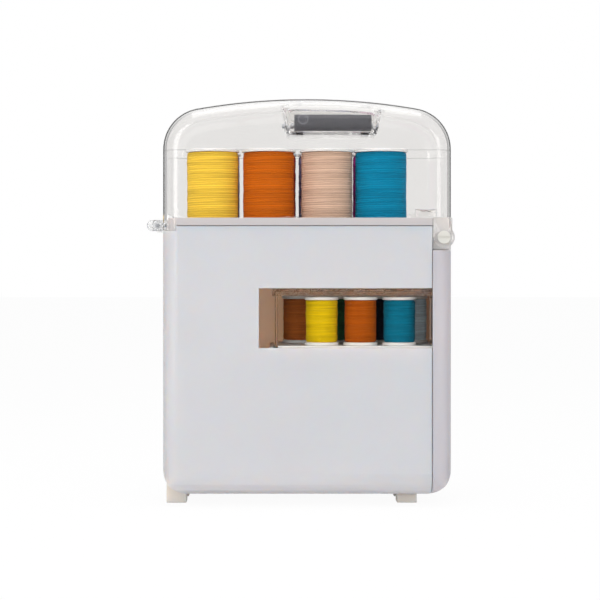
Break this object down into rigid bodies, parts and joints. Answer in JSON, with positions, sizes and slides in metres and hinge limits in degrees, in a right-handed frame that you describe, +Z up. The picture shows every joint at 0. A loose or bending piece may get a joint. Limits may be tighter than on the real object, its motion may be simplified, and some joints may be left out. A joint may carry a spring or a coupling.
{
  "type": "thread spool storage box",
  "caption": "Slim upright case with a clear hinged dome over large thread spools on pegs, and a windowed end drawer for small spools; folding top handle.",
  "frame": {"origin": "centre of the box around the whole object, on the floor under the feet", "axes": "+X along the case from the latch end to the hinge end, +Y across it away from the broad side with the window, +Z up"},
  "size_m": [0.2004, 0.0908, 0.2654],
  "materials": {
    "white_shell": "satin moulded",
    "white_frame": "satin moulded",
    "foot_pad": "soft translucent pad",
    "hinge_pin_white": "semi gloss",
    "clear_lid": "clear plastic",
    "dark_handle": "fine texture",
    "steel_pin": "drawn",
    "clear_latch": "clear plastic",
    "white_tray": "satin moulded",
    "white_drawer": "satin moulded",
    "clear_bin": "clear plastic",
    "clear_bin_cover": "clear plastic",
    "steel_screw": "plated",
    "spool_core": "semi gloss",
    "thread_yellow": "wound thread",
    "thread_orange": "wound thread",
    "thread_peach": "wound thread",
    "thread_teal": "wound thread",
    "thread_navy": "wound thread",
    "thread_crimson": "wound thread",
    "thread_slate_violet": "wound thread",
    "thread_magenta": "wound thread",
    "thread_bright_yellow": "wound thread",
    "thread_burnt_orange": "wound thread",
    "thread_dark_teal": "wound thread",
    "thread_brown": "wound thread",
    "thread_dark_green": "wound thread",
    "thread_pale_blue": "wound thread"
  },
  "bodies": {
    "case": {"main_shell": "white_shell", "top_frame": "white_frame", "hinge_beam": "white_frame", "tray_rail_near": "white_frame", "tray_rail_far": "white_frame", "foot_near_left": "foot_pad", "foot_near_right": "foot_pad", "foot_far_left": "foot_pad", "foot_far_right": "foot_pad", "hinge_pin_near": "hinge_pin_white", "hinge_pin_far": "hinge_pin_white"},
    "lid": {"lid_dome": "clear_lid", "handle_pin_left": "steel_pin", "handle_pin_right": "steel_pin", "latch_pin": "steel_pin"},
    "handle": {"carry_handle": "dark_handle"},
    "latch": {"latch_tab": "clear_latch"},
    "tray": {"spool_tray": "white_tray"},
    "drawer": {"drawer_front": "white_shell", "drawer_frame": "white_drawer", "spool_bin": "clear_bin", "bin_rack": "white_tray", "notions_bin": "clear_bin", "front_screw_1": "steel_screw", "front_screw_2": "steel_screw", "front_screw_3": "steel_screw", "front_screw_4": "steel_screw"},
    "bin_cover": {"bin_lid": "clear_bin_cover"},
    "large_spool_1": {"large_core_1": "spool_core", "large_thread_1": "thread_yellow"},
    "large_spool_2": {"large_core_2": "spool_core", "large_thread_2": "thread_orange"},
    "large_spool_3": {"large_core_3": "spool_core", "large_thread_3": "thread_peach"},
    "large_spool_4": {"large_core_4": "spool_core", "large_thread_4": "thread_teal"},
    "large_spool_5": {"large_core_5": "spool_core", "large_thread_5": "thread_navy"},
    "large_spool_6": {"large_core_6": "spool_core", "large_thread_6": "thread_crimson"},
    "large_spool_7": {"large_core_7": "spool_core", "large_thread_7": "thread_slate_violet"},
    "large_spool_8": {"large_core_8": "spool_core", "large_thread_8": "thread_magenta"},
    "small_spool_1": {"small_core_1": "spool_core", "small_thread_1": "thread_bright_yellow"},
    "small_spool_2": {"small_core_2": "spool_core", "small_thread_2": "thread_burnt_orange"},
    "small_spool_3": {"small_core_3": "spool_core", "small_thread_3": "thread_dark_teal"},
    "small_spool_4": {"small_core_4": "spool_core", "small_thread_4": "thread_brown"},
    "small_spool_5": {"small_core_5": "spool_core", "small_thread_5": "thread_dark_green"},
    "small_spool_6": {"small_core_6": "spool_core", "small_thread_6": "thread_navy"},
    "small_spool_7": {"small_core_7": "spool_core", "small_thread_7": "thread_pale_blue"}
  },
  "joints": [
    {"name": "lid_hinge", "type": "hinge", "parent": "case", "child": "lid", "pos_m": [0.09317, 0, 0.17505], "axis": [0, 1, 0], "range_deg": [0, 90]},
    {"name": "handle_fold", "type": "hinge", "parent": "lid", "child": "handle", "pos_m": [0.02202, 0.012, 0.2515], "axis": [-1, 0, 0], "range_deg": [0, 90]},
    {"name": "latch_lift", "type": "hinge", "parent": "lid", "child": "latch", "pos_m": [-0.09348, 0, 0.1828], "axis": [0, -1, 0], "range_deg": [0, 30]},
    {"name": "tray_lift", "type": "slide", "parent": "case", "child": "tray", "axis": [0, 0, 1], "range_m": [0, 0.008]},
    {"name": "drawer_slide", "type": "slide", "parent": "case", "child": "drawer", "axis": [1, 0, 0], "range_m": [0, 0.095]},
    {"name": "bin_lid_lift", "type": "slide", "parent": "drawer", "child": "bin_cover", "axis": [0, 0, 1], "range_m": [0, 0.02]},
    {"name": "large_spin_1", "type": "hinge", "parent": "tray", "child": "large_spool_1", "pos_m": [-0.05767, -0.02, 0.1833], "axis": [0, 0, 1], "continuous": true},
    {"name": "large_spin_2", "type": "hinge", "parent": "tray", "child": "large_spool_2", "pos_m": [-0.02057, -0.02, 0.1833], "axis": [0, 0, 1], "continuous": true},
    {"name": "large_spin_3", "type": "hinge", "parent": "tray", "child": "large_spool_3", "pos_m": [0.01783, -0.02, 0.1833], "axis": [0, 0, 1], "continuous": true},
    {"name": "large_spin_4", "type": "hinge", "parent": "tray", "child": "large_spool_4", "pos_m": [0.05362, -0.02, 0.1833], "axis": [0, 0, 1], "continuous": true},
    {"name": "large_spin_5", "type": "hinge", "parent": "tray", "child": "large_spool_5", "pos_m": [-0.05767, 0.02, 0.1833], "axis": [0, 0, 1], "continuous": true},
    {"name": "large_spin_6", "type": "hinge", "parent": "tray", "child": "large_spool_6", "pos_m": [-0.01928, 0.02, 0.1833], "axis": [0, 0, 1], "continuous": true},
    {"name": "large_spin_7", "type": "hinge", "parent": "tray", "child": "large_spool_7", "pos_m": [0.01653, 0.02, 0.1833], "axis": [0, 0, 1], "continuous": true},
    {"name": "large_spin_8", "type": "hinge", "parent": "tray", "child": "large_spool_8", "pos_m": [0.05362, 0.02, 0.1833], "axis": [0, 0, 1], "continuous": true},
    {"name": "small_spin_1", "type": "hinge", "parent": "drawer", "child": "small_spool_1", "pos_m": [0.01443, -0.02, 0.1041], "axis": [0, 0, 1], "continuous": true},
    {"name": "small_spin_2", "type": "hinge", "parent": "drawer", "child": "small_spool_2", "pos_m": [0.04013, -0.02, 0.1041], "axis": [0, 0, 1], "continuous": true},
    {"name": "small_spin_3", "type": "hinge", "parent": "drawer", "child": "small_spool_3", "pos_m": [0.06582, -0.02, 0.1041], "axis": [0, 0, 1], "continuous": true},
    {"name": "small_spin_4", "type": "hinge", "parent": "drawer", "child": "small_spool_4", "pos_m": [-0.00038, 0.02, 0.1041], "axis": [0, 0, 1], "continuous": true},
    {"name": "small_spin_5", "type": "hinge", "parent": "drawer", "child": "small_spool_5", "pos_m": [0.02533, 0.02, 0.1041], "axis": [0, 0, 1], "continuous": true},
    {"name": "small_spin_6", "type": "hinge", "parent": "drawer", "child": "small_spool_6", "pos_m": [0.05103, 0.02, 0.1041], "axis": [0, 0, 1], "continuous": true},
    {"name": "small_spin_7", "type": "hinge", "parent": "drawer", "child": "small_spool_7", "pos_m": [0.07673, 0.02, 0.1041], "axis": [0, 0, 1], "continuous": true}
  ]
}
